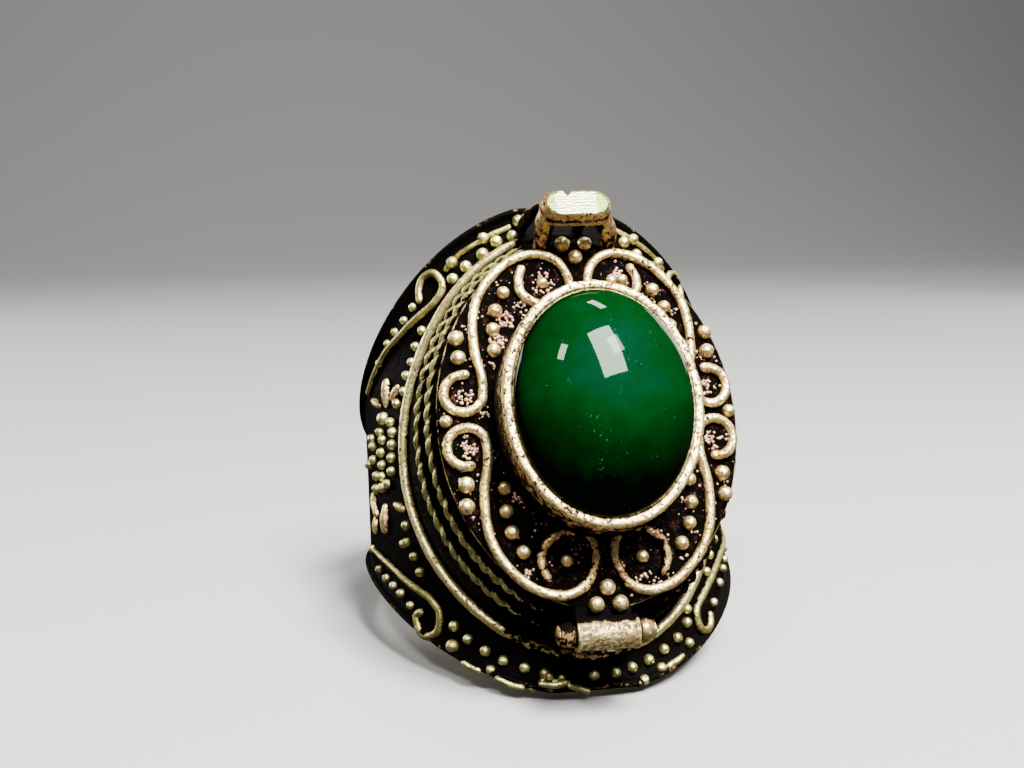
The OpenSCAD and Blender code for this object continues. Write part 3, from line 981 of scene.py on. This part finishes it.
# Scroll of one quarter: the crook's centre and radius, then places along the side and round the spiral
CROOK = (5.62, 1.2, 0.86)
SCROLL_SIDE = (
    (4.77, 1.85), (5.0, 3.11), (5.0, 4.39), (4.77, 5.46), (4.11, 6.55), (3.11, 7.42), (2.06, 7.76),
    (1.19, 7.58), (0.63, 6.99), (0.4, 5.96), (0.75, 5.3), (1.4, 5.1), (2.12, 5.3), (2.68, 5.81),
    (2.76, 6.5), (2.57, 6.99),
)
SPIRAL = (1.66, 6.33)
SCROLL_R = 0.22
SCROLL_FOOT = 0.55
# The lower spirals are darker from this share of their length on, and by this much
DARKER_FROM = 0.7
SPIRAL_DARKENING = 0.5


def scroll_points():
    points = []
    for degrees in range(98, -171, -20):
        c, s = polar(radians(degrees))
        points.append((CROOK[0] + CROOK[2] * c, CROOK[1] + CROOK[2] * s))
    return points + list(SCROLL_SIDE)


def make_lid_scrolls():
    shape = Shape()
    for sx in (LEFT, RIGHT):
        for sy in (LOWER, UPPER):
            flat = smooth_path([(sx * x, sy * y, 0) for x, y in scroll_points()], 5)
            path = [over_lid(p, SCROLL_R * 0.56) for p in flat]
            feet = []
            for i in range(len(path)):
                beyond = min(1, max(0, i / (len(path) - 1) - DARKER_FROM) / 0.06)
                feet.append(SCROLL_FOOT + (SPIRAL_DARKENING * beyond if sy == LOWER else 0))
            tube(shape, path, [UP] * len(path), SCROLL_R, sides=14, uneven=0.13, foot=feet)
    shape.piece("lid_scrolls", "lid", wire_silver, "lid")


# Granules on the lid: places in one quarter, those at the upper spirals as they stand, and diameters
OUTER_ROW = ((5.74, 2.85), (5.78, 3.78))
INNER_ROW = ((3.5, 5.86), (3.94, 5), (4.12, 4.1), (4.14, 3.1))
UPPER_SPIRAL_BEADS = ((-1.67, 6.29), (1.57, 6.33), (2.09, 6.38))
TRIAD_PAIR = (0.53, 8.24)
TRIAD_HEAD_Y = 7.55
WAIST_X = 6.45
GRANULE_D = 0.7
INNER_D = 0.62
SPIRAL_D = 0.56
UPPER_SPIRAL_D = 0.52


def lid_bead(shape, x, y, d):
    bead(shape, (x, y, lid_z(x, y) + d * 0.22), UP, d, sides=18, rows=9)


def make_lid_granules():
    shape = Shape()
    for sx in (LEFT, RIGHT):
        for sy in (LOWER, UPPER):
            for places, d in ((OUTER_ROW, GRANULE_D), (INNER_ROW, INNER_D), ((TRIAD_PAIR,), GRANULE_D)):
                for x, y in places:
                    lid_bead(shape, sx * x, sy * y, d)
        lid_bead(shape, sx * SPIRAL[0], -SPIRAL[1], SPIRAL_D)
        lid_bead(shape, sx * WAIST_X, 0, SPIRAL_D)
    for x, y in UPPER_SPIRAL_BEADS:
        lid_bead(shape, x, y, UPPER_SPIRAL_D)
    for sy in (LOWER, UPPER):
        lid_bead(shape, 0, sy * TRIAD_HEAD_Y, GRANULE_D)
    shape.piece("lid_granules", "lid", granule_silver, "lid")


# Grains of the crust, loose and in heaps, and each heap's middle and radius
LOOSE_GRAINS = 460
GRAINS_IN_HEAP = 30
CRUST_HEAPS = (
    (-5.55, 1.05, 0.42), (-5.55, -1.3, 0.4), (5.55, 1.1, 0.4), (5.5, -1.35, 0.42), (-1.67, 6.29, 0.62),
    (-3.5, 4.5, 0.45), (-3.95, 3.6, 0.35), (1.9, 6.3, 0.5),
)
CRUST_SPREAD = 0.96


def grain(shape, x, y, d, lift):
    bead(shape, (x, y, lid_z(x, y) + d * lift), UP, d, sides=7, rows=4)


def make_crust():
    """Tiny grains left between the wires, thickest in patches and heaps."""
    shape = Shape()
    dice = random.Random(5)
    count = 0
    while count < LOOSE_GRAINS:
        t, r = dice.uniform(0, 2 * pi), sqrt(dice.random())
        x, y = LID[0] * CRUST_SPREAD * r * cos(t), LID[1] * CRUST_SPREAD * r * sin(t)
        inside = (x / (STONE[0] + 0.5)) ** 2 + (y / (STONE[1] + 0.5)) ** 2 < 1
        if inside or noise.noise(Vector((x, y, 0)) * 1.3) < dice.uniform(0.08, 0.45):
            continue
        grain(shape, x, y, dice.uniform(0.07, 0.19), 0.1)
        count += 1
    for heap_x, heap_y, radius in CRUST_HEAPS:
        for _ in range(GRAINS_IN_HEAP):
            t, r = dice.uniform(0, 2 * pi), radius * sqrt(dice.random())
            x, y = heap_x + r * cos(t), heap_y + r * sin(t)
            grain(shape, x, y, dice.uniform(0.1, 0.2), 0.15)
    shape.piece("crust", "lid", crust_silver, "lid")


def fused(shape, voxel, rounds):
    """The shapes melted into one skin, as in a casting, and smoothed."""
    obj = add_mesh("fuse", shape.points, shape.faces)
    mesh = obj.data
    melt = obj.modifiers.new("melt", "REMESH")
    melt.mode = "VOXEL"
    melt.voxel_size = voxel
    soften = obj.modifiers.new("soften", "SMOOTH")
    soften.iterations = rounds
    skin = obj.evaluated_get(bpy.context.evaluated_depsgraph_get()).to_mesh()
    out = Shape()
    out.points = [v.co.copy() for v in skin.vertices]
    out.faces = [tuple(f.vertices) for f in skin.polygons]
    out.recess = [0.0] * len(out.points)
    bpy.data.objects.remove(obj)
    bpy.data.meshes.remove(mesh)
    return out


# Thumb arch: the lean of its legs to the right, and its bar
ARCH_LEAN = 0.24
BAR_STEPS = 24
BAR_END = 0.06
BAR_SQUARENESS = 5
# Its nick, the groove along its front and the painted shade in it, and the bright part of the filed top
NICK_X = -0.42
NICK_DEPTH = 0.38
GROOVE_Z = 1.33
GROOVE_SHADE = 0.45
CUT_WIDTH = 0.13
FACET_MIDDLE = (-0.98, 0.9)
FACET_SLACK = 0.000002
# How it is melted together
ARCH_VOXEL = 0.055
ARCH_ROUNDS = 12


def cut(distance):
    """The depth of a rounded cut of depth 1 at a distance from its middle."""
    return exp(-(distance / CUT_WIDTH) ** 2)


def raw_arch():
    """The bar and its two legs, before they are melted together."""
    raw = Shape()
    bar = [Vector((x / BAR_STEPS * ARCH_HALF, *BAR_AT)) for x in range(-BAR_STEPS, BAR_STEPS + 1)]
    radii = [BAR_R * sqrt(1 - abs(p.x / (ARCH_HALF + BAR_END)) ** BAR_SQUARENESS) for p in bar]
    tube(raw, bar, [ALONG] * len(bar), radii, sides=40, uneven=0.05, round_ends=False)
    for side in (LEFT, RIGHT):
        # Places down in the lid and up into the bar, each with the leg's radius
        leg = [
            (side * (ARCH_HALF - 0.04) + ARCH_LEAN, LID[1] - 0.25, -0.95, 0.38),
            (side * (ARCH_HALF - 0.06) + ARCH_LEAN, LID[1] + 0.1, -0.15, 0.4),
            (side * (ARCH_HALF - 0.2) + ARCH_LEAN / 2, LID[1] + 0.42, 0.35, 0.45),
            (side * (ARCH_HALF - 0.42), LID[1] + 0.62, 0.7, 0.5),
            (side * (ARCH_HALF - 0.75), LID[1] + 0.75, 0.95, 0.52),
        ]
        path = smooth_path(leg, 6)
        tube(raw, [p.xyz for p in path], [ALONG] * len(path), [p.w for p in path], sides=24, uneven=0.1)
    return raw


def make_thumb_arch():
    """The bar that a thumb lifts: thick, on two legs that spread to the lid, and filed flat on top."""
    shape = fused(raw_arch(), ARCH_VOXEL, ARCH_ROUNDS)
    for i, p in enumerate(shape.points):
        nick = cut(p.x - NICK_X) * max(0, p.y - BAR_AT[0]) * NICK_DEPTH
        if p.z >= FACET_Z:
            shape.recess[i] = float(not FACET_MIDDLE[0] < p.x < FACET_MIDDLE[1])
        else:
            # Painted shade: in the groove, on the insides of the legs low under the bar, and more toward the
            # lid
            groove = GROOVE_SHADE * cut(p.z - GROOVE_Z) * (p.y < BAR_AT[0])
            inner = 0.6 * (abs(p.x - ARCH_LEAN / 2) < ARCH_HALF - 0.35) * (p.z < 0.8)
            shape.recess[i] = 0.12 + groove + inner + 0.35 * min(1, max(0, 1 - p.z))
        shape.points[i] = Vector((p.x, p.y - nick, min(p.z, FACET_Z)))
    shape.shift(ENDS_X)
    arch = shape.piece("thumb_arch", "lid", arch_silver, "lid")
    arch.data.materials.append(facet_silver)
    top = max(v.co.dot(FACE) for v in arch.data.vertices) - FACET_SLACK
    for face in arch.data.polygons:
        if all(arch.data.vertices[v].co.dot(FACE) > top for v in face.vertices):
            face.material_index = 1
            face.use_smooth = False


# Lid knuckle: how soft its ends are, and the thin raised ring at each
KNUCKLE_SOFT = 0.04
KNUCKLE_RIM = 0.1


def make_lid_knuckle():
    """The middle knuckle, bored for the pin, and the tongue that joins it to the lid."""
    shape = Shape()
    soft, rim, r = KNUCKLE_SOFT, KNUCKLE_RIM, KNUCKLE_R
    # Distance in from an end, and radius
    ends = [
        (0, PIN_BORE_R), (0, r - soft), (soft * 0.3, r - soft * 0.3), (soft, r), (soft + rim, r),
        (soft + rim * 1.4, r - rim * 0.5),
    ]
    middle = [(mix(-KNUCKLE_HALF, KNUCKLE_HALF, k), r - rim * 0.4) for k in (0.2, 0.35, 0.5, 0.65, 0.8)]
    profile = [(-KNUCKLE_HALF + x, y) for x, y in ends] + middle
    profile += [(KNUCKLE_HALF - x, y) for x, y in reversed(ends)]
    rings, recess = [], []
    for t in around(64):
        c, s = polar(t)
        ring = []
        for x, rad in profile:
            uneven = 1 + 0.03 * noise.noise(Vector((x * 2, c * 2, s * 2)))
            ring.append((x, HINGE_Y + rad * uneven * c, HINGE_Z + rad * s))
        rings.append(ring)
        # Darker toward the lid: tarnish and painted shade in the crease
        recess.append([0.9] + [0.05 + 1.2 * max(0, c) ** 2] * (len(profile) - 2) + [0.9])
    shape.rings(rings, recess, loop=True)
    low = (-KNUCKLE_HALF + 0.1, HINGE_Y + 0.35, HINGE_Z - 0.5)
    high = (KNUCKLE_HALF - 0.1, -LID[1] + 0.5, HINGE_Z - 0.06)
    block(shape, low, high, recess=1.2)
    shape.shift(ENDS_X)
    shape.piece("lid_knuckle", "lid", pitted_silver, "lid")


def stone_painted_light(p):
    """Painted light and shade in the stone at a point: lightest above the middle, black low down and round
    its edge.
    """
    x, y = p.x / STONE[0], p.y / STONE[1]
    edge = min(1, max(0, hypot(x, y) - 0.92) / 0.05)
    return min(1.2, 0.12 + max(0, -y) + 0.46 * (x - 0.1) ** 2 + 0.3 * max(0, y) ** 3 + 0.7 * edge)


def make_stone():
    """The cabochon: a short upright edge with a softened foot, and a dome on it."""
    shape = Shape()
    n = 128
    dome_rows = 32
    rings = [
        oval_ring(STONE[0] * 0.97, STONE[1] * 0.97, STONE_BASE, n),
        oval_ring(*STONE, STONE_BASE + 0.1, n),
        oval_ring(*STONE, STONE_BASE + STONE_EDGE, n),
    ]
    for i in range(1, dome_rows + 1):
        c, s = polar(radians(89.5 * i / dome_rows))
        rings.append(oval_ring(STONE[0] * c, STONE[1] * c, STONE_BASE + STONE_EDGE + STONE_DOME * s, n))
    # The recess carries the stone's painted light and shade
    shape.rings(rings, [[stone_painted_light(p) for p in ring] for ring in rings])
    shape.piece("cabochon", "lid", stone_green, "stone")


def make_pin():
    """The pin, its ends riveted over into small domes."""
    shape = Shape()
    sides = 28
    end = KNUCKLE_HALF + LEAF_GAP + LEAF_L + 0.04
    head = [
        (end - 0.001, 0.35), (end, 0.4), (end + 0.02, 0.42), (end + 0.06, 0.38), (end + 0.1, 0.28),
        (end + 0.125, 0.15), (end + 0.13, 0.02),
    ]
    outline = [(-x, r) for x, r in reversed(head)] + head
    rings = []
    for x, r in outline:
        rings.append([(x + ENDS_X, HINGE_Y + r * c, HINGE_Z + r * s) for c, s in map(polar, around(sides))])
    shape.rings(rings, [[0.55 if x < 0 else 0.2] * sides for x, _ in outline])
    shape.piece("pin", "ring", smooth_silver, "hinge_pin")


# Stage, in metres: the floor, the bend behind the ring and the wall above it
FLOOR_HALF_WIDTH = 1.5
FLOOR_FRONT = -1.2
FLOOR_BEND = 0.3
FLOOR_BEND_R = 0.4
FLOOR_TOP = 1.4
BEND_STEPS = 12
FLOOR_COLOUR = (0.28, 0.275, 0.268, 1)
ROOM_COLOUR = (0.85, 0.84, 0.8, 1)
ROOM_STRENGTH = 0.09

# Soft lights: name, place, size, power, and where each points
RING = (0, 0, 0.011)
LIGHTS = (
    ("key", (0.04, -0.10, 0.172), (0.058, 0.09), 3.0, RING),
    ("key_glow", (0.064, -0.094, 0.186), (0.03, 0.034), 0.4, RING),
    ("left_window", (-0.066, -0.082, 0.168), (0.02, 0.03), 0.3, RING),
    ("left_fill", (-0.16, 0.13, 0.06), (0.06, 0.09), 0.3, RING),
    ("right_fill", (0.17, 0.14, 0.08), (0.06, 0.09), 0.12, RING),
    ("top", (0.045, 0.033, 0.25), (0.06, 0.024), 0.5, RING),
    ("backdrop_wash", (0, 0.05, 0.4), (0.5, 0.2), 2.5, (0, 0.6, 0.42)),
)


def make_floor():
    """A pale floor that rises in a curve behind the ring. The metal and the stone don't mirror it."""
    profile = [(FLOOR_FRONT, 0), (-0.4, 0), (0, 0), (FLOOR_BEND, 0)]
    for i in range(1, BEND_STEPS + 1):
        c, s = polar(pi / 2 * i / BEND_STEPS)
        profile.append((FLOOR_BEND + FLOOR_BEND_R * s, FLOOR_BEND_R - FLOOR_BEND_R * c))
    profile.append((FLOOR_BEND + FLOOR_BEND_R, FLOOR_TOP))
    points = [(x, y, z) for y, z in profile for x in (-FLOOR_HALF_WIDTH, FLOOR_HALF_WIDTH)]
    faces = [(2 * i, 2 * i + 1, 2 * i + 3, 2 * i + 2) for i in range(len(profile) - 1)]
    floor = add_mesh("floor", points, faces)
    pale = Nodes("pale_floor")
    pale.set(Base_Color=FLOOR_COLOUR, Roughness=0.8)
    floor.data.materials.append(pale.material)
    floor.visible_glossy = False


def make_lights():
    """Dim light from all round, and soft lamps."""
    world = bpy.data.worlds.new("studio")
    world.use_nodes = True
    background = world.node_tree.nodes["Background"]
    background.inputs["Color"].default_value = ROOM_COLOUR
    background.inputs["Strength"].default_value = ROOM_STRENGTH
    bpy.context.scene.world = world
    for name, location, size, power, target in LIGHTS:
        data = bpy.data.lights.new(name, "AREA")
        data.shape = "RECTANGLE"
        data.size, data.size_y = size
        data.energy = power
        light = add_object(name, data)
        light.location = location
        aim = Vector(target) - Vector(location)
        light.rotation_euler = aim.to_track_quat("-Z", "Y").to_euler()


# Camera: the photograph's view, found by fitting the lid's symmetric ornament. Angles are in radians
FOCAL_PX = 1100
PHOTO_WIDTH_PX = 1024
SENSOR_MM = 36
CAMERA_PITCH = -0.26748
CAMERA_YAW = 0.17330
CAMERA_ROLL = 0.07949
CAMERA_SHIFT = Vector((3.558, -1.279, -48.434))
NEAREST_SEEN = 0.001


def make_camera():
    roll = Matrix.Rotation(CAMERA_ROLL, 3, "Z")
    pitch = Matrix.Rotation(CAMERA_PITCH, 3, "X")
    yaw = Matrix.Rotation(CAMERA_YAW, 3, "Y")
    turn_back = (roll @ pitch @ yaw).transposed()
    face = Matrix((ACROSS, FINGER, FACE)).transposed()
    data = bpy.data.cameras.new("camera")
    data.sensor_width = SENSOR_MM
    data.lens = SENSOR_MM * FOCAL_PX / PHOTO_WIDTH_PX
    data.clip_start = NEAREST_SEEN
    camera = add_object("camera", data)
    stand = Matrix.Translation(place(-(turn_back @ CAMERA_SHIFT)))
    camera.matrix_world = stand @ (face @ turn_back).to_4x4()
    bpy.context.scene.camera = camera


make_band()
make_box_wall()
make_ropes()
make_heavy_wire()
make_shoulder_scrolls()
make_band_granules()
make_front_granules()
make_petals()
make_edge_bits()
make_hinge_leaves()
make_keeper()
make_lid_plate()
make_lid_rim()
make_bezel()
make_lid_scrolls()
make_lid_granules()
make_crust()
make_thumb_arch()
make_lid_knuckle()
make_stone()
make_pin()
make_floor()
make_lights()
make_camera()
